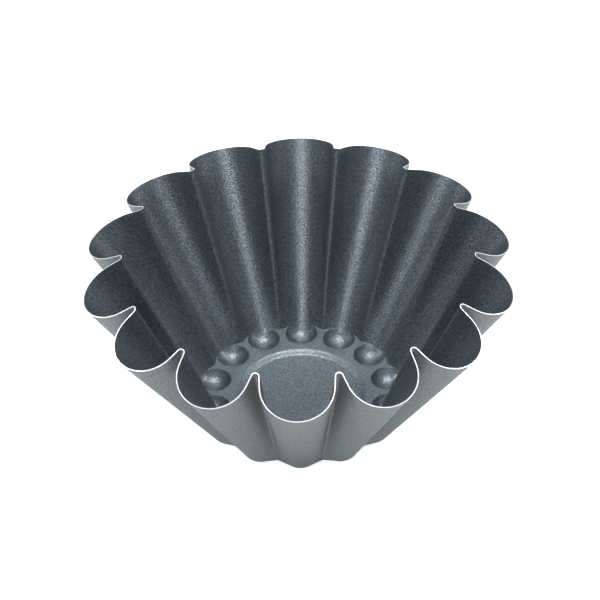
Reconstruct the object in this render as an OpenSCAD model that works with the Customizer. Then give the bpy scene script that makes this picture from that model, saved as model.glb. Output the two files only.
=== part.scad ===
// Fluted brioche mould, pressed from one disc of coated steel sheet.
// Each flute runs from a round cup in the floor up to the trimmed rim, with a
// narrow fold between neighbours. The wall is made of straight lines that join
// the outline at the foot of the wall to the outline at the rim.
// Origin: on the axis, at the level of the fourteen feet. Front flute at -Y.

/* [Mould] */
// Number of flutes round the mould
flutes = 14; // [12:1:16]
// Outside diameter of the rim, across two opposite flutes
rim_d = 200; // [190:1:240]
// Height from the feet to the top of the folds
mould_h = 90.4; // [70:0.1:110]

/* [Sheet] */
// Thickness of the steel sheet
sheet_t = 0.5; // [0.4:0.05:0.8]
// Thickness of the coating on each face
coat_t = 0.03; // [0.02:0.01:0.06]

/* [Rim] */
// Distance from the axis to the tip of a fold at the rim
rim_fold_reach = 80.9; // [74:0.1:84]
// Radius of a flute at the rim
rim_flute_r = 16.5; // [13.5:0.1:17]
// Radius of a fold at the rim
rim_fold_r = 1.7; // [1.2:0.1:2.1]
// Angle by which the trimmed rim drops outwards
rim_slope = 27.2; // [20:0.1:32]

/* [Base] */
// Radius of the circle on which the cups are set out
cup_ring_r = 42.4; // [40:0.1:44]
// Radius of a cup where it leaves the floor
cup_r = 7.95; // [6.6:0.05:8.2]
// Depth of a cup below the floor
cup_depth = 4; // [3:0.1:5]
// Radius of the small flat under each cup, on which the mould stands
foot_flat_r = 1.5; // [1:0.1:2]
// Distance from the axis to the foot of a fold
base_fold_reach = 46.5; // [45:0.1:49]
// Radius of a fold at its foot
base_fold_r = 2; // [1:0.1:3]
// Radius of the sunk disc at the top of its step
disc_top_r = 31.4; // [28:0.1:32]
// Radius of the sunk disc at the bottom of its step
disc_floor_r = 27.4; // [22:0.1:27.5]
// Depth of the sunk disc below the floor
disc_sink = 1.4; // [1:0.1:2]

/* [Hidden] */
// Facets of half a flute: over the cup, up the side, along the leg, round the fold
cup_steps = 3;
side_steps = 2;
leg_steps = 1;
fold_steps = 2;
half_steps = cup_steps + side_steps + leg_steps + fold_steps;
flute_steps = 2 * half_steps;
columns = flutes * flute_steps;
// Facets up the wall, on the free side of a cup, down a cup, and on the disc's step
wall_rows = 2;
near_steps = 8;
cup_rows = 3;
step_rows = 3;
disc_steps = 4;
cup_points = 2 * cup_steps + near_steps;
disc_points = flutes * disc_steps;
// Levels of the middle of the sheet
half_sector = 180 / flutes;
half_t = sheet_t / 2;
skin_t = half_t + coat_t;
floor_z = skin_t + cup_depth;
disc_z = floor_z - disc_sink;
// Ball of a cup: its centre lies above the floor by cup_rise
cup_rise = (cup_r * cup_r - foot_flat_r * foot_flat_r - cup_depth * cup_depth) / (2 * cup_depth);
ball_r = norm([cup_r, cup_rise]);
ball_z = floor_z + cup_rise;
// Angles down the ball from its axis, at the floor and at the flat
edge_angle = asin(cup_r / ball_r);
flat_angle = asin(foot_flat_r / ball_r);
// Rim outline, drawn on the trimming cone rolled out flat
rim_spread = cos(rim_slope);
rim_tip = rim_fold_reach / rim_spread;
rim_apex = (rim_d / 2 - skin_t) / rim_spread;
rim_line = outline(rim_apex - rim_flute_r, rim_flute_r, rim_tip + rim_fold_r, rim_fold_r, half_sector * rim_spread);
base_line = outline(cup_ring_r, cup_r, base_fold_reach + base_fold_r, base_fold_r, half_sector);
small = 0.001;

// Half an outline: flute arc, straight leg, fold arc, each tangent to the next.
// Gives [flute centre, flute radius, fold centre, fold radius, leg angle, and the three lengths]
function outline(flute_c, flute_r, fold_c, fold_r, half) =
    let (f = fold_c * [cos(half), sin(half)])
    let (gap = f - [flute_c, 0])
    let (reach = max(norm(gap), flute_r + fold_r))
    let (leg_a = atan2(gap.y, gap.x) - acos((flute_r + fold_r) / reach))
    let (leg = sqrt(max(reach * reach - pow(flute_r + fold_r, 2), 0)))
    [flute_c, flute_r, f, fold_r, leg_a, arc(flute_r, leg_a), leg, arc(fold_r, leg_a - half)];
function arc(r, a) = r * a * PI / 180;
function ray(a) = [cos(a), sin(a)];
function length(o) = o[5] + o[6] + o[7];
// Direction in which the outline faces at a length s from the top of the flute
function facing(o, s) =
    s <= o[5] ? s / o[1] * 180 / PI
    : s <= o[5] + o[6] ? o[4]
    : o[4] - (s - o[5] - o[6]) / o[3] * 180 / PI;
// Point of the outline at a length s from the top of the flute
function along(o, s) =
    let (a = facing(o, s))
    s <= o[5] ? [o[0], 0] + o[1] * ray(a)
    : s <= o[5] + o[6] ? [o[0], 0] + o[1] * ray(a) + (s - o[5]) * [-sin(a), cos(a)]
    : o[2] - o[3] * ray(a);

// Length along the rim outline of column k, counted from the middle of the flute
function rim_s(k) =
    let (to_side = arc(rim_flute_r, base_line[4]))
    k <= cup_steps ? to_side * k / cup_steps
    : k <= cup_steps + side_steps ? to_side + (rim_line[5] - to_side) * (k - cup_steps) / side_steps
    : k <= half_steps - fold_steps ? rim_line[5] + rim_line[6] * (k - cup_steps - side_steps) / leg_steps
    : rim_line[5] + rim_line[6] + rim_line[7] * (k - half_steps + fold_steps) / fold_steps;
// Length along the base outline of the same column
function base_s(k) =
    k <= cup_steps ? base_line[5] * k / cup_steps
    : base_line[5] + (length(base_line) - base_line[5])
        * (rim_s(k) - rim_s(cup_steps)) / (length(rim_line) - rim_s(cup_steps));

// Point of the rim at a length s, rolled back on to the trimming cone
function rim_point(s) =
    let (p = along(rim_line, s))
    let (reach = norm(p))
    let (a = atan2(p.y, p.x) / rim_spread)
    [each reach * rim_spread * ray(a), mould_h - (reach - rim_tip) * sin(rim_slope)];
function base_point(s) = [each along(base_line, s), floor_z];

// Half a flute's wall at column k, moved out of the middle of the sheet by d: [foot, rim]
function unit(v) = v / norm(v);
function wall_line(k, d) =
    let (foot = base_point(base_s(k)))
    let (top = rim_point(rim_s(k)))
    let (up = unit(top - foot))
    let (foot_a = facing(base_line, base_s(k)))
    let (foot_n = unit(cross([-sin(foot_a), cos(foot_a), 0], up)))
    let (top_n = unit(cross(rim_point(rim_s(k) + small) - rim_point(rim_s(k) - small), up)))
    let (moved = foot + d * foot_n)
    let (level = moved + up * (floor_z - d - moved.z) / up.z)
    [k <= cup_steps ? cup_edge(base_line[4] * k / cup_steps, d) : level, top + d * top_n];

// Points of a cup, seen from its flute's middle: on its edge, and down the ball
function edge_r(d) = sqrt(pow(ball_r + d, 2) - pow(cup_rise + d, 2));
function cup_edge(a, d) = [cup_ring_r + edge_r(d) * cos(a), edge_r(d) * sin(a), floor_z - d];
function cup_a(k) =
    let (side = base_line[4])
    k <= 2 * cup_steps ? side * (k / cup_steps - 1)
    : side + (360 - 2 * side) * (k - 2 * cup_steps) / near_steps;
function ball_point(row, a, d) =
    let (down = edge_angle + (flat_angle - edge_angle) * row / cup_rows)
    let (flat_drop = ball_r * cos(flat_angle) + d)
    let (flat = row == cup_rows)
    let (r = flat ? sqrt(pow(ball_r + d, 2) - flat_drop * flat_drop) : (ball_r + d) * sin(down))
    [cup_ring_r + r * cos(a), r * sin(a), ball_z - (flat ? flat_drop : (ball_r + d) * cos(down))];

// Point of the disc's step, an S-shaped slope from the floor down to the disc
function step_point(row, k, d) =
    let (t = row / step_rows)
    let (run = disc_top_r - disc_floor_r)
    let (slope = atan(disc_sink * PI / 2 * sin(180 * t) / run))
    let (r = disc_top_r - run * t + d * sin(slope))
    let (z = floor_z - disc_sink * (1 - cos(180 * t)) / 2 - d * cos(slope))
    turned([r, 0, z], k * 360 / disc_points - 90 - half_sector);

function turned(p, a) = [p.x * cos(a) - p.y * sin(a), p.x * sin(a) + p.y * cos(a), p.z];
function mirrored(p, side) = [p.x, side * p.y, p.z];
function flute_a(i) = i * 360 / flutes - 90;

// All points of the sheet moved out of its middle by d
function skin_points(d) =
    let (half = [for (k = [0:half_steps]) wall_line(k, d)])
    [
        for (row = [0:wall_rows], i = [0:flutes - 1], j = [0:flute_steps - 1])
            let (line = half[abs(j - half_steps)])
            let (p = line[0] + (line[1] - line[0]) * row / wall_rows)
            turned(mirrored(p, j < half_steps ? -1 : 1), flute_a(i)),
        for (i = [0:flutes - 1], k = [1:near_steps - 1])
            turned(cup_edge(cup_a(2 * cup_steps + k), d), flute_a(i)),
        for (i = [0:flutes - 1], row = [1:cup_rows], k = [0:cup_points - 1])
            turned(ball_point(row, cup_a(k), d), flute_a(i)),
        for (row = [0:step_rows], k = [0:disc_points - 1])
            step_point(row, k, d)
    ];

// Places of those points in the list
function at_wall(row, c) = row * columns + c % columns;
near_start = (wall_rows + 1) * columns;
function at_near(i, k) = near_start + i * (near_steps - 1) + k - 1;
cup_start = near_start + flutes * (near_steps - 1);
function at_cup(i, row, k) =
    let (n = k % cup_points)
    row > 0 ? cup_start + (i * cup_rows + row - 1) * cup_points + n
    : n <= 2 * cup_steps ? at_wall(0, i * flute_steps + half_steps - cup_steps + n)
    : at_near(i, n - 2 * cup_steps);
step_start = cup_start + flutes * cup_rows * cup_points;
function at_step(row, k) = step_start + row * disc_points + k % disc_points;
skin_size = step_start + (step_rows + 1) * disc_points;

function flip(f) = [for (k = [len(f) - 1:-1:0]) f[k]];
// A four-cornered patch as two triangles, cut across one way or the other
function patch(a, b, c, e, other) = other ? [[a, b, e], [b, c, e]] : [[a, b, c], [a, c, e]];

// Faces of one skin, seen from below and outside
skin_faces = [
    for (row = [0:wall_rows - 1], c = [0:columns - 1])
        each patch(at_wall(row, c), at_wall(row, c + 1), at_wall(row + 1, c + 1), at_wall(row + 1, c),
            c % flute_steps < half_steps),
    for (i = [0:flutes - 1], row = [0:cup_rows - 1], k = [0:cup_points - 1])
        each patch(at_cup(i, row, k), at_cup(i, row + 1, k), at_cup(i, row + 1, k + 1), at_cup(i, row, k + 1), false),
    for (i = [0:flutes - 1])
        flip([for (k = [0:cup_points - 1]) at_cup(i, cup_rows, k)]),
    for (i = [0:flutes - 1])
        flip([
            at_step(0, i * disc_steps),
            for (j = [0:half_steps - cup_steps]) at_wall(0, i * flute_steps + j),
            for (k = [near_steps - 1:-1:1]) at_near(i, k),
            for (j = [half_steps + cup_steps:flute_steps]) at_wall(0, i * flute_steps + j),
            for (k = [disc_steps:-1:1]) at_step(0, i * disc_steps + k)
        ]),
    for (row = [0:step_rows - 1], k = [0:disc_points - 1])
        each patch(at_step(row, k), at_step(row + 1, k), at_step(row + 1, k + 1), at_step(row, k + 1), false),
    flip([for (k = [0:disc_points - 1]) at_step(step_rows, k)])
];
// Faces of the cut edge that joins the outer skin to the inner one
edge_faces = [
    for (c = [0:columns - 1])
        each patch(at_wall(wall_rows, c), at_wall(wall_rows, c + 1),
            skin_size + at_wall(wall_rows, c + 1), skin_size + at_wall(wall_rows, c), c % flute_steps < half_steps)
];

// A closed layer of the sheet, from d_out below its middle to d_in above it
module layer(d_out, d_in)
    polyhedron(
        points = concat(skin_points(d_out), skin_points(d_in)),
        faces = concat(
            [for (f = skin_faces) flip(f)],
            [for (f = skin_faces) [for (v = f) v + skin_size]],
            [for (f = edge_faces) flip(f)]
        ),
        convexity = 10
    );

module steel_sheet() {
    color("silver") layer(half_t, -half_t);
}

module inner_coating() {
    color("slategray") layer(-half_t, -skin_t);
}

module outer_coating() {
    color("gray") layer(skin_t, half_t);
}

steel_sheet();
inner_coating();
outer_coating();
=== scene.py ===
# %% [markdown]
# # Fluted brioche mould
# A brioche mould is one disc of coated steel sheet. A press forms its fourteen flutes, fourteen small
# cups and a sunk disc, and a trimming cut leaves the rim bare. Nothing on it moves, so the whole mould
# rides one body.
#
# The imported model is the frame. Its box is measured straight after loading, because the mould drawn here
# has to stay inside it.

# %% Load the frame
import math
import bpy
import numpy as np
from mathutils import Matrix
from mathutils import Vector


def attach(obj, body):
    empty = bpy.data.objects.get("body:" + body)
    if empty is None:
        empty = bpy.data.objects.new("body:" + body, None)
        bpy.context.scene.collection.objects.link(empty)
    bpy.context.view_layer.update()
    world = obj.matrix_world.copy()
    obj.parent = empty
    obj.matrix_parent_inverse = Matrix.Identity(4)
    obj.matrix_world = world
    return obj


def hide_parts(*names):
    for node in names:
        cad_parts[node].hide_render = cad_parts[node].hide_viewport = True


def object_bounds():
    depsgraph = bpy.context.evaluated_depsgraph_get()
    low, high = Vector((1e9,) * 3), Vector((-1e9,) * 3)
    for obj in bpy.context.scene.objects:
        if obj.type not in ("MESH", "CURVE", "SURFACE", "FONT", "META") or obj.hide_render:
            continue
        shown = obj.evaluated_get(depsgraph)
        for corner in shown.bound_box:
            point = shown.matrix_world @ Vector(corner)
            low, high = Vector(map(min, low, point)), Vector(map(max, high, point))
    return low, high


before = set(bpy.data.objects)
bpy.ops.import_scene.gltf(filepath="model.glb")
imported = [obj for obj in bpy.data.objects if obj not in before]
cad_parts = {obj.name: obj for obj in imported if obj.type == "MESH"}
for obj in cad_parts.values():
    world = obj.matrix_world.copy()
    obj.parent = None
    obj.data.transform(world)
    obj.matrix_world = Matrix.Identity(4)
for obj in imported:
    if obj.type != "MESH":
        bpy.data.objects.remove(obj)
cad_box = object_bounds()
print("frame nodes:", sorted(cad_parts))

# %% [markdown]
# ## Sizes
# These are the sizes a toolmaker would note on the drawing of the press tool, in millimetres. The packed
# model is built from the same ones. The few sizes below them are worked out, so that a changed radius
# still closes: each cup is a ball cap with a small flat foot, and its ball comes from the cup's radius
# and depth.

# %% Sizes
MM = 0.001
FLUTES = 14
RIM_D = 200.0
MOULD_H = 90.4
SHEET_T = 0.5
COAT_T = 0.03
RIM_FOLD_REACH = 80.9
RIM_FLUTE_R = 16.5
RIM_FOLD_R = 1.7
RIM_SLOPE = math.radians(27.2)
CUP_RING_R = 42.4
CUP_R = 7.95
CUP_DEPTH = 4.0
FOOT_FLAT_R = 1.5
BASE_FOLD_REACH = 46.5
BASE_FOLD_R = 2.0
DISC_TOP_R = 31.4
DISC_FLOOR_R = 27.4
DISC_SINK = 1.4
HALF_SECTOR = math.pi / FLUTES
HALF_T = SHEET_T / 2
SKIN_T = HALF_T + COAT_T
FLOOR_Z = SKIN_T + CUP_DEPTH
CUP_RISE = (CUP_R ** 2 - FOOT_FLAT_R ** 2 - CUP_DEPTH ** 2) / (2 * CUP_DEPTH)
BALL_R = math.hypot(CUP_R, CUP_RISE)
print("rim %.0f mm across, %.1f mm high, ball of a cup %.2f mm" % (RIM_D, MOULD_H, BALL_R))

# %% [markdown]
# ## Camera
# One fit of the rim and the cups puts the camera about 1.2 m away, looking down by 41 degrees through a
# long lens, with a small roll and a small turn round the mould. It is made before the mould, so that every
# later picture can be laid beside the photograph. Lengths are in millimetres and angles in radians.

# %% Camera
CAMERA_DOWN = math.radians(41.236)
CAMERA_AWAY = 1225.0
CAMERA_ASIDE = -0.43
CAMERA_UP = 20.37
CAMERA_ROLL = 0.01997
CAMERA_TURN = 0.01832
CAMERA_LENS = 160.8


def make_camera():
    """Places the camera from a point on the mould's axis, level with the top of the folds."""
    right = Vector((1, 0, 0))
    ahead = Vector((0, math.cos(CAMERA_DOWN), -math.sin(CAMERA_DOWN)))
    up = Vector((0, math.sin(CAMERA_DOWN), math.cos(CAMERA_DOWN)))
    place = (-ahead * CAMERA_AWAY - right * CAMERA_ASIDE - up * CAMERA_UP) * MM
    place.z += MOULD_H * MM
    c = math.cos(CAMERA_ROLL)
    s = math.sin(CAMERA_ROLL)
    side = c * right - s * up
    top = s * right + c * up
    turn = Matrix((side, top, -ahead)).transposed().to_4x4()
    camera = bpy.data.objects.new("camera", bpy.data.cameras.new("camera"))
    camera.data.lens = CAMERA_LENS
    camera.matrix_world = Matrix.Rotation(CAMERA_TURN, 4, "Z") @ Matrix.Translation(place) @ turn
    bpy.context.scene.collection.objects.link(camera)
    bpy.context.scene.camera = camera
    return camera


camera = make_camera()
bpy.context.scene.view_settings.view_transform = "Standard"
print("camera at", [round(v, 3) for v in camera.matrix_world.translation])

# %% [markdown]
# ## The outline of a flute
# Seen from above, a flute is a round arc, then a straight leg, then a tight fold that turns back to the
# next flute. The same three parts, tangent to each other, make the outline at the rim and at the foot of
# the wall.
#
# It could be a list of points. Arcs and legs are used instead, because they stay smooth at any radius and
# at any number of steps. The rim lies on a cone, with the folds highest, so its outline is drawn on the
# cone rolled out flat and is rolled up again later.


# %% Outline of arcs
def ray(a):
    """The point at distance one in direction a."""
    return np.array([math.cos(a), math.sin(a)])


class Outline:
    """Half an outline: flute arc, leg and fold arc, each tangent to the next."""

    def __init__(self, flute_c, flute_r, fold_c, fold_r, half):
        both_r = flute_r + fold_r
        self.c = np.array([flute_c, 0.0])
        self.r = flute_r
        self.f = fold_c * ray(half)
        self.fold_r = fold_r
        gap = self.f - self.c
        reach = max(np.hypot(*gap), both_r)
        self.leg_a = math.atan2(gap[1], gap[0]) - math.acos(both_r / reach)
        self.arc = flute_r * self.leg_a
        self.leg = math.sqrt(max(reach ** 2 - both_r ** 2, 0))
        self.fold = fold_r * (self.leg_a - half)
        self.length = self.arc + self.leg + self.fold

    def facing(self, s):
        """Direction the outline faces at length s from the flute's middle."""
        if s <= self.arc:
            return s / self.r
        if s <= self.arc + self.leg:
            return self.leg_a
        return self.leg_a - (s - self.arc - self.leg) / self.fold_r

    def along(self, s):
        """Point of the outline at length s from the flute's middle."""
        a = self.facing(s)
        if s <= self.arc:
            return self.c + self.r * ray(a)
        if s <= self.arc + self.leg:
            sideways = np.array([-math.sin(a), math.cos(a)])
            return self.c + self.r * ray(a) + (s - self.arc) * sideways
        return self.f - self.fold_r * ray(a)


SPREAD = math.cos(RIM_SLOPE)
RIM_TIP = RIM_FOLD_REACH / SPREAD
RIM_C = (RIM_D / 2 - SKIN_T) / SPREAD - RIM_FLUTE_R
rim_line = Outline(RIM_C, RIM_FLUTE_R, RIM_TIP + RIM_FOLD_R, RIM_FOLD_R, HALF_SECTOR * SPREAD)
base_line = Outline(CUP_RING_R, CUP_R, BASE_FOLD_REACH + BASE_FOLD_R, BASE_FOLD_R, HALF_SECTOR)
print("half outline: rim %.1f mm, base %.1f mm" % (rim_line.length, base_line.length))

# %% [markdown]
# ## Where the sheet goes in one flute
# The wall is ruled: straight lines join its foot to the rim, because a pressed sheet bends but hardly
# stretches. Each cup is part of a ball that meets the wall smoothly on its far side and the floor in a
# crisp edge on its near side. The disc in the middle is reached by a soft step.
#
# It could be a lofted surface with a Solidify modifier. Every point is worked out here instead, with the
# distance d from the middle of the sheet, because then neighbouring layers share exactly the same
# surface.

# %% Points of one flute
# Steps along each part of half an outline, then rows and steps of the wall, the cup, the step and the disc.
CUP_STEPS = 10
SIDE_STEPS = 8
LEG_STEPS = 3
FOLD_STEPS = 7
HALF_STEPS = CUP_STEPS + SIDE_STEPS + LEG_STEPS + FOLD_STEPS
WALL_ROWS = 22
NEAR_STEPS = 24
CUP_ROWS = 10
CUP_POINTS = 2 * CUP_STEPS + NEAR_STEPS
STEP_ROWS = 8
DISC_STEPS = 14
SMALL = 0.001


def rim_point(s):
    """Point of the rim at length s, rolled from the flat drawing onto the cone."""
    p = rim_line.along(s)
    reach = np.hypot(*p)
    flat = reach * SPREAD * ray(math.atan2(p[1], p[0]) / SPREAD)
    return np.array([flat[0], flat[1], MOULD_H - (reach - RIM_TIP) * math.sin(RIM_SLOPE)])


def column_lengths():
    """Lengths along the rim and the base of every column, from the flute's middle to the fold."""
    side = rim_line.r * base_line.leg_a
    stops = [0, side, rim_line.arc, rim_line.arc + rim_line.leg, rim_line.length]
    steps = [CUP_STEPS, SIDE_STEPS, LEG_STEPS, FOLD_STEPS]
    rim = [0.0]
    for a, b, n in zip(stops, stops[1:], steps):
        rim += list(np.linspace(a, b, n + 1)[1:])
    rest = (base_line.length - base_line.arc) / (rim_line.length - side)
    base = []
    for s in rim:
        in_arc = s <= side
        base.append(s / rim_line.r * base_line.r if in_arc else base_line.arc + (s - side) * rest)
    return rim, base


def edge_point(a, d):
    """Point of a cup's edge in direction a, on the skin at distance d."""
    r = math.sqrt((BALL_R + d) ** 2 - (CUP_RISE + d) ** 2)
    return np.array([CUP_RING_R + r * math.cos(a), r * math.sin(a), FLOOR_Z - d])


def unit(v):
    """v at length one."""
    return v / np.linalg.norm(v)


def wall_line(k, d):
    """Foot and rim of column k, moved out of the middle of the sheet by d."""
    rim_s = RIM_LENGTHS[k]
    base_s = BASE_LENGTHS[k]
    foot = np.append(base_line.along(base_s), FLOOR_Z)
    top = rim_point(rim_s)
    up = unit(top - foot)
    a = base_line.facing(base_s)
    foot = foot + d * unit(np.cross([-math.sin(a), math.cos(a), 0], up))
    foot = foot + up * (FLOOR_Z - d - foot[2]) / up[2]
    if k <= CUP_STEPS:
        foot = edge_point(base_line.leg_a * k / CUP_STEPS, d)
    along_rim = rim_point(rim_s + SMALL) - rim_point(rim_s - SMALL)
    return foot, top + d * unit(np.cross(along_rim, up))


def cup_angle(k):
    """Direction of point k round a cup: the far side on the wall first, then the near side."""
    side = base_line.leg_a
    if k <= 2 * CUP_STEPS:
        return side * (k / CUP_STEPS - 1)
    return side + (2 * math.pi - 2 * side) * (k - 2 * CUP_STEPS) / NEAR_STEPS


def ball_point(row, a, d):
    """Point of a cup's ball, from its edge at row 0 to its flat foot at the last row."""
    edge = math.asin(CUP_R / BALL_R)
    flat = math.asin(FOOT_FLAT_R / BALL_R)
    down = edge + (flat - edge) * row / CUP_ROWS
    r = (BALL_R + d) * math.sin(down)
    drop = (BALL_R + d) * math.cos(down)
    if row == CUP_ROWS:
        drop = BALL_R * math.cos(flat) + d
        r = math.sqrt((BALL_R + d) ** 2 - drop ** 2)
    return np.array([CUP_RING_R + r * math.cos(a), r * math.sin(a), FLOOR_Z + CUP_RISE - drop])


def step_point(row, k, d):
    """Point of the soft step from the ring of the floor down to the disc."""
    t = row / STEP_ROWS
    run = DISC_TOP_R - DISC_FLOOR_R
    slope = math.atan(DISC_SINK * math.pi / 2 * math.sin(math.pi * t) / run)
    r = DISC_TOP_R - run * t + d * math.sin(slope)
    z = FLOOR_Z - DISC_SINK * (1 - math.cos(math.pi * t)) / 2 - d * math.cos(slope)
    flat = r * ray(HALF_SECTOR * (2 * k / DISC_STEPS - 1))
    return np.array([flat[0], flat[1], z])


RIM_LENGTHS, BASE_LENGTHS = column_lengths()
print("columns in one flute:", 2 * HALF_STEPS + 1)

# %% [markdown]
# ## The skin of one flute
# Both faces of the sheet have the same layout: wall, cup, flat floor round the cup, step and disc. One
# function makes the points and faces of either, and the trimmed edge joins the two at the rim. A flute is
# left open only where it meets its neighbours. Two copies of one skin, one lifted above the other, would be
# quicker to make, but then the sheet would be too thin on the steep walls.


# %% Faces of one flute
def skin(d):
    """Points and faces of one flute of the sheet moved out by d, faces seen from outside."""
    points = []
    faces = []
    lines = [wall_line(abs(j), d) for j in range(-HALF_STEPS, HALF_STEPS + 1)]
    width = len(lines)
    for row in range(WALL_ROWS + 1):
        for j, (foot, top) in enumerate(lines):
            mirror = -1 if j < HALF_STEPS else 1
            points.append((foot + (top - foot) * row / WALL_ROWS) * [1, mirror, 1])
    near = len(points) - 1
    points += [edge_point(cup_angle(2 * CUP_STEPS + k), d) for k in range(1, NEAR_STEPS)]
    cup = len(points)
    for row in range(1, CUP_ROWS + 1):
        points += [ball_point(row, cup_angle(k), d) for k in range(CUP_POINTS)]
    step = len(points)
    for row in range(STEP_ROWS + 1):
        points += [step_point(row, k, d) for k in range(DISC_STEPS + 1)]
    centre = len(points)
    points.append(step_point(STEP_ROWS, 0, d) * [0, 0, 1])

    def at_cup(row, k):
        n = k % CUP_POINTS
        if row:
            return cup + (row - 1) * CUP_POINTS + n
        if n <= 2 * CUP_STEPS:
            return HALF_STEPS - CUP_STEPS + n
        return near + n - 2 * CUP_STEPS

    def at_step(row, k):
        return step + row * (DISC_STEPS + 1) + k

    def quad(at, row, k):
        return [at(row, k), at(row + 1, k), at(row + 1, k + 1), at(row, k + 1)]

    for row in range(WALL_ROWS):
        for j in range(width - 1):
            a = row * width + j
            faces.append([a, a + 1, a + 1 + width, a + width])
    for row in range(CUP_ROWS):
        for k in range(CUP_POINTS):
            faces.append(quad(at_cup, row, k))
    faces.append([at_cup(CUP_ROWS, k) for k in reversed(range(CUP_POINTS))])
    floor = [at_step(0, 0)] + list(range(HALF_STEPS - CUP_STEPS + 1))
    floor += [near + k for k in range(NEAR_STEPS - 1, 0, -1)]
    floor += list(range(HALF_STEPS + CUP_STEPS, width))
    floor += [at_step(0, k) for k in range(DISC_STEPS, 0, -1)]
    faces.append(floor[::-1])
    for k in range(DISC_STEPS):
        for row in range(STEP_ROWS):
            faces.append(quad(at_step, row, k))
        faces.append([at_step(STEP_ROWS, k), centre, at_step(STEP_ROWS, k + 1)])
    rim = [WALL_ROWS * width + j for j in range(width)]
    return points, faces, rim


def flute_mesh(name, d_out, d_in):
    """One flute of a layer: outer skin, inner skin turned round, and the trimmed edge between them."""
    outer, faces, rim = skin(d_out)
    inner = skin(d_in)[0]
    n = len(outer)
    closed = faces + [[v + n for v in reversed(f)] for f in faces]
    closed += [[a, b, b + n, a + n] for a, b in zip(rim, rim[1:])]
    mesh = bpy.data.meshes.new(name)
    mesh.from_pydata([tuple(p * MM) for p in outer + inner], [], closed)
    return mesh


print("faces in one skin of a flute:", len(skin(0)[1]))

# %% [markdown]
# ## Fourteen flutes round the axis
# The press tool repeats one flute fourteen times. A Geometry Nodes tree does the same: it sets the flute
# on one point per flute at the axis, turns each by its share, makes them real and welds the seams. The
# first flute faces the camera.
#
# It could be an Array modifier or a loop that copies points. The tree is used because the number of
# flutes and the weld distance are inputs with names, and one tree makes every layer of the sheet.


# %% Tree that repeats a flute
# The weld distance is in metres, far below the coatings' thickness.
WELD = 0.000002
FRONT = -math.pi / 2


def node(tree, kind, **values):
    """Adds a node of this kind to the tree and sets its properties."""
    made = tree.nodes.new(kind)
    for key, value in values.items():
        setattr(made, key, value)
    return made


def repeat_tree():
    """A tree that turns copies of a flute round the axis and welds them into one mesh."""
    tree = bpy.data.node_groups.new("flutes_round_axis", "GeometryNodeTree")
    face = tree.interface
    face.new_socket("Flute", in_out="INPUT", socket_type="NodeSocketGeometry")
    face.new_socket("Count", in_out="INPUT", socket_type="NodeSocketInt").default_value = FLUTES
    face.new_socket("Weld", in_out="INPUT", socket_type="NodeSocketFloat").default_value = WELD
    face.new_socket("Finish", in_out="INPUT", socket_type="NodeSocketMaterial")
    face.new_socket("Mould", in_out="OUTPUT", socket_type="NodeSocketGeometry")
    start = node(tree, "NodeGroupInput")
    end = node(tree, "NodeGroupOutput")
    line = node(tree, "GeometryNodeMeshLine")
    line.inputs["Offset"].default_value = (0, 0, 0)
    index = node(tree, "GeometryNodeInputIndex")
    share = node(tree, "ShaderNodeMath", operation="DIVIDE")
    angle = node(tree, "ShaderNodeMath", operation="MULTIPLY_ADD")
    angle.inputs[1].default_value = 2 * math.pi
    angle.inputs[2].default_value = FRONT
    turn = node(tree, "ShaderNodeCombineXYZ")
    put = node(tree, "GeometryNodeInstanceOnPoints")
    real = node(tree, "GeometryNodeRealizeInstances")
    weld = node(tree, "GeometryNodeMergeByDistance")
    smooth = node(tree, "GeometryNodeSetShadeSmooth")
    paint = node(tree, "GeometryNodeSetMaterial")
    link = tree.links.new
    link(start.outputs["Count"], line.inputs["Count"])
    link(index.outputs[0], share.inputs[0])
    link(start.outputs["Count"], share.inputs[1])
    link(share.outputs[0], angle.inputs[0])
    link(angle.outputs[0], turn.inputs["Z"])
    link(line.outputs[0], put.inputs["Points"])
    link(start.outputs["Flute"], put.inputs["Instance"])
    link(turn.outputs[0], put.inputs["Rotation"])
    link(put.outputs[0], real.inputs[0])
    link(real.outputs[0], weld.inputs["Geometry"])
    link(start.outputs["Weld"], weld.inputs["Distance"])
    link(weld.outputs[0], smooth.inputs["Geometry"])
    link(smooth.outputs[0], paint.inputs["Geometry"])
    link(start.outputs["Finish"], paint.inputs["Material"])
    link(paint.outputs[0], end.inputs[0])
    return tree


flutes_tree = repeat_tree()
print("tree:", flutes_tree.name, len(flutes_tree.nodes), "nodes")

# %% [markdown]
# ## Speckle
# The coating is a sprayed and baked film, satin and slightly metallic, with a fine speckle of lighter
# grains about half a millimetre wide. The trimmed steel has a fainter one, slightly coarser.
#
# All three finishes use one node group. Noise on Object coordinates makes the speckle, so the grains keep
# their size over the whole mould. A second, slow noise varies the roughness, as a sprayed film does. The
# group gives only a colour, a roughness and a height, and each material keeps its own Principled shader.


# %% Speckle group
GRAIN_DETAIL = 2
CLOUDS_PER_METRE = 30
DARKEST_NOISE = 0.32
LIGHTEST_NOISE = 0.68


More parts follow.
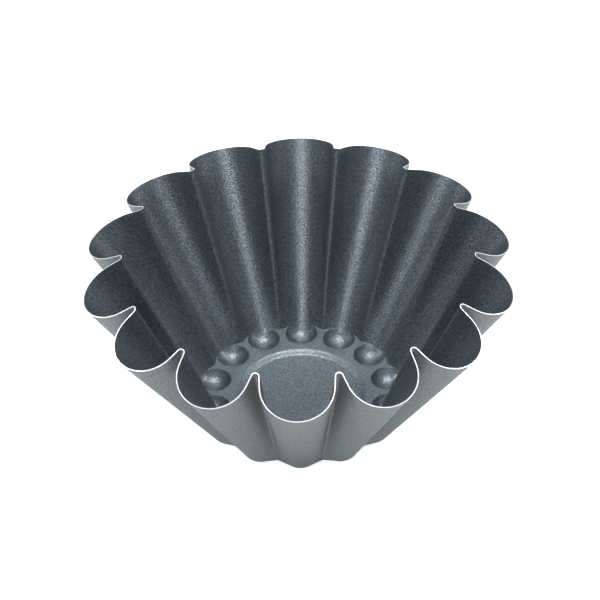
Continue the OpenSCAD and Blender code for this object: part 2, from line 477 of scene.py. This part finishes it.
def speckle_group():
    """A group that gives the colour, roughness and height of a speckled film."""
    group = bpy.data.node_groups.new("speckle", "ShaderNodeTree")
    face = group.interface
    face.new_socket("Dark", in_out="INPUT", socket_type="NodeSocketColor")
    face.new_socket("Light", in_out="INPUT", socket_type="NodeSocketColor")
    face.new_socket("Grains per metre", in_out="INPUT", socket_type="NodeSocketFloat")
    face.new_socket("Smoothest", in_out="INPUT", socket_type="NodeSocketFloat")
    face.new_socket("Roughest", in_out="INPUT", socket_type="NodeSocketFloat")
    face.new_socket("Color", in_out="OUTPUT", socket_type="NodeSocketColor")
    face.new_socket("Roughness", in_out="OUTPUT", socket_type="NodeSocketFloat")
    face.new_socket("Height", in_out="OUTPUT", socket_type="NodeSocketFloat")
    start = node(group, "NodeGroupInput")
    end = node(group, "NodeGroupOutput")
    place = node(group, "ShaderNodeTexCoord")
    grain = node(group, "ShaderNodeTexNoise")
    grain.inputs["Detail"].default_value = GRAIN_DETAIL
    cloud = node(group, "ShaderNodeTexNoise")
    cloud.inputs["Scale"].default_value = CLOUDS_PER_METRE
    spread = node(group, "ShaderNodeMapRange")
    spread.inputs["From Min"].default_value = DARKEST_NOISE
    spread.inputs["From Max"].default_value = LIGHTEST_NOISE
    tint = node(group, "ShaderNodeMix", data_type="RGBA")
    rough = node(group, "ShaderNodeMapRange")
    link = group.links.new
    link(place.outputs["Object"], grain.inputs["Vector"])
    link(place.outputs["Object"], cloud.inputs["Vector"])
    link(start.outputs["Grains per metre"], grain.inputs["Scale"])
    link(grain.outputs["Fac"], spread.inputs["Value"])
    link(spread.outputs[0], tint.inputs["Factor"])
    link(start.outputs["Dark"], tint.inputs["A"])
    link(start.outputs["Light"], tint.inputs["B"])
    link(tint.outputs["Result"], end.inputs["Color"])
    link(cloud.outputs["Fac"], rough.inputs["Value"])
    link(start.outputs["Smoothest"], rough.inputs["To Min"])
    link(start.outputs["Roughest"], rough.inputs["To Max"])
    link(rough.outputs[0], end.inputs["Roughness"])
    link(spread.outputs[0], end.inputs["Height"])
    return group


speckle = speckle_group()
print("group:", speckle.name, len(speckle.nodes), "nodes")

# %% [markdown]
# ## Finishes
# The inside is a blue-grey non-stick film. The outside is a lighter grey film that is a little duller.
# The trimmed edge is bare steel, seen as a thin bright line. Each is one call with its two colours, the
# number of grains to the metre, its range of roughness, how metallic it is and how much the grains stand
# up.


# %% Materials
GRAIN_HEIGHT = 0.0001


def finish(name, dark, light, grains, rough, metallic, bump):
    """A satin finish with the speckle's colour, roughness and height."""
    material = bpy.data.materials.new(name)
    material.use_nodes = True
    tree = material.node_tree
    shader = tree.nodes["Principled BSDF"]
    shader.inputs["Metallic"].default_value = metallic
    use = node(tree, "ShaderNodeGroup", node_tree=speckle)
    use.inputs["Dark"].default_value = (*dark, 1)
    use.inputs["Light"].default_value = (*light, 1)
    use.inputs["Grains per metre"].default_value = grains
    use.inputs["Smoothest"].default_value = rough[0]
    use.inputs["Roughest"].default_value = rough[1]
    raise_by = node(tree, "ShaderNodeBump")
    raise_by.inputs["Strength"].default_value = bump
    raise_by.inputs["Distance"].default_value = GRAIN_HEIGHT
    tree.links.new(use.outputs["Color"], shader.inputs["Base Color"])
    tree.links.new(use.outputs["Roughness"], shader.inputs["Roughness"])
    tree.links.new(use.outputs["Height"], raise_by.inputs["Height"])
    tree.links.new(raise_by.outputs["Normal"], shader.inputs["Normal"])
    return material


COAT_GRAINS = 1500
STEEL_GRAINS = 900
INNER_DARK = (0.07, 0.09, 0.105)
INNER_LIGHT = (0.21, 0.245, 0.27)
OUTER_DARK = (0.15, 0.172, 0.18)
OUTER_LIGHT = (0.32, 0.345, 0.35)
STEEL_DARK = (0.78, 0.79, 0.80)
STEEL_LIGHT = (0.88, 0.88, 0.88)
inner_finish = finish(
    "inner_nonstick", INNER_DARK, INNER_LIGHT, COAT_GRAINS, rough=(0.30, 0.40), metallic=0.75, bump=0.8
)
outer_finish = finish(
    "outer_nonstick", OUTER_DARK, OUTER_LIGHT, COAT_GRAINS, rough=(0.40, 0.50), metallic=0.5, bump=0.6
)
steel_finish = finish(
    "bare_steel", STEEL_DARK, STEEL_LIGHT, STEEL_GRAINS, rough=(0.35, 0.50), metallic=0.6, bump=0.2
)
print("finishes:", inner_finish.name, outer_finish.name, steel_finish.name)

# %% [markdown]
# ## The three layers
# The sheet is bare only where it was trimmed. The coatings lie on its two faces and end at the cut, so
# the bright edge is real geometry. A painted line on one thick shell would look the same from afar, but
# it would drift off the edge in a close view.
#
# One function makes each layer with the tree and keeps it as a plain mesh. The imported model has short
# straight chords where this one has finer arcs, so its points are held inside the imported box, which moves
# a few of them by up to 0.02 mm. Edges sharper than the crease angle stay crisp: the trimmed rim and the
# near edge of a cup.

# %% Make the layers
CREASE = math.radians(32)


def make_layer(name, node_name, d_out, d_in, material):
    """Repeats one flute of a layer with the tree and keeps the result as a plain mesh."""
    one = bpy.data.objects.new(name + "_flute", flute_mesh(name + "_flute", d_out, d_in))
    bpy.context.scene.collection.objects.link(one)
    repeat = one.modifiers.new("repeat", "NODES")
    repeat.node_group = flutes_tree
    sockets = {s.name: s.identifier for s in flutes_tree.interface.items_tree if s.in_out == "INPUT"}
    repeat[sockets["Count"]] = FLUTES
    repeat[sockets["Finish"]] = material
    repeated = one.evaluated_get(bpy.context.evaluated_depsgraph_get())
    mesh = bpy.data.meshes.new_from_object(repeated)
    mesh.name = name
    bpy.data.objects.remove(one)
    for point in mesh.vertices:
        point.co = np.clip(point.co, cad_box[0], cad_box[1])
    mesh.set_sharp_from_angle(angle=CREASE)
    piece = bpy.data.objects.new(name, mesh)
    bpy.context.scene.collection.objects.link(piece)
    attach(piece, "root")
    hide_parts(node_name)
    print(name, len(mesh.vertices), "points,", len(mesh.polygons), "faces")


make_layer("pressed_sheet", "steel_sheet", HALF_T, -HALF_T, steel_finish)
make_layer("inside_coat", "inner_coating", -HALF_T, -SKIN_T, inner_finish)
make_layer("outside_coat", "outer_coating", SKIN_T, HALF_T, outer_finish)

# %% [markdown]
# ## Floor and light
# The photograph is a studio picture on white, with soft light from above and from all sides. A pale
# floor, one round lamp overhead and three fill lamps give that light.
#
# The white of the background is shown to the camera alone, by Light Path, so that it adds no light to the
# mould. The floor keeps its own shading under that white, so the soft shadow at the feet still shows. A
# floor that is white for the camera whatever falls on it would leave the mould floating.


# %% Studio
WORLD_COLOR = (0.9, 0.95, 1.0, 1)
WORLD_STRENGTH = 0.35
FLOOR_COLOR = (0.8, 0.8, 0.8, 1)
FLOOR_SIDE = 3
FLOOR_Z_BELOW = -0.0004
FLOOR_GLOW = 0.72
LAMPS_AIM = Vector((0, 0, 0.05))


def world_white(tree):
    """The world gives its soft light, and the camera sees it as plain white."""
    path = node(tree, "ShaderNodeLightPath")
    seen = node(tree, "ShaderNodeMixShader")
    white = node(tree, "ShaderNodeBackground")
    white.inputs["Color"].default_value = (1, 1, 1, 1)
    tree.links.new(path.outputs["Is Camera Ray"], seen.inputs["Fac"])
    tree.links.new(tree.nodes["Background"].outputs[0], seen.inputs[1])
    tree.links.new(white.outputs[0], seen.inputs[2])
    tree.links.new(seen.outputs[0], tree.nodes["World Output"].inputs["Surface"])


def floor_white(tree):
    """The floor reaches white for the camera by a glow, and still darkens where the mould shades it."""
    path = node(tree, "ShaderNodeLightPath")
    glow = node(tree, "ShaderNodeEmission")
    lift = node(tree, "ShaderNodeMath", operation="MULTIPLY")
    lift.inputs[1].default_value = FLOOR_GLOW
    both = node(tree, "ShaderNodeAddShader")
    tree.links.new(path.outputs["Is Camera Ray"], lift.inputs[0])
    tree.links.new(lift.outputs[0], glow.inputs["Strength"])
    tree.links.new(tree.nodes["Principled BSDF"].outputs[0], both.inputs[0])
    tree.links.new(glow.outputs[0], both.inputs[1])
    tree.links.new(both.outputs[0], tree.nodes["Material Output"].inputs["Surface"])


def make_studio():
    """The world's soft light and the floor."""
    world = bpy.data.worlds.new("studio")
    world.use_nodes = True
    bpy.context.scene.world = world
    tree = world.node_tree
    lit = tree.nodes["Background"]
    lit.inputs["Color"].default_value = WORLD_COLOR
    lit.inputs["Strength"].default_value = WORLD_STRENGTH
    world_white(tree)
    bpy.ops.mesh.primitive_plane_add(size=FLOOR_SIDE, location=(0, 0, FLOOR_Z_BELOW))
    floor = bpy.context.object
    floor.name = "floor"
    material = bpy.data.materials.new("pale_floor")
    material.use_nodes = True
    shader = material.node_tree.nodes["Principled BSDF"]
    shader.inputs["Base Color"].default_value = FLOOR_COLOR
    shader.inputs["Roughness"].default_value = 1
    floor_white(material.node_tree)
    floor.data.materials.append(material)


def make_lamp(name, place, size, power):
    """A round lamp at place, turned to the mould."""
    lamp = bpy.data.lights.new(name, "AREA")
    lamp.shape = "DISK"
    lamp.size = size
    lamp.energy = power
    holder = bpy.data.objects.new(name, lamp)
    holder.location = place
    holder.rotation_euler = (LAMPS_AIM - Vector(place)).to_track_quat("-Z", "Y").to_euler()
    bpy.context.scene.collection.objects.link(holder)


make_studio()
make_lamp("overhead", place=(0.05, 0.22, 1.3), size=0.5, power=12)
make_lamp("front_fill", place=(-0.15, -1.25, 0.95), size=0.5, power=9)
make_lamp("right_fill", place=(1.1, 0.25, 0.95), size=0.5, power=8)
make_lamp("left_fill", place=(-1.1, 0.25, 0.95), size=0.5, power=7)
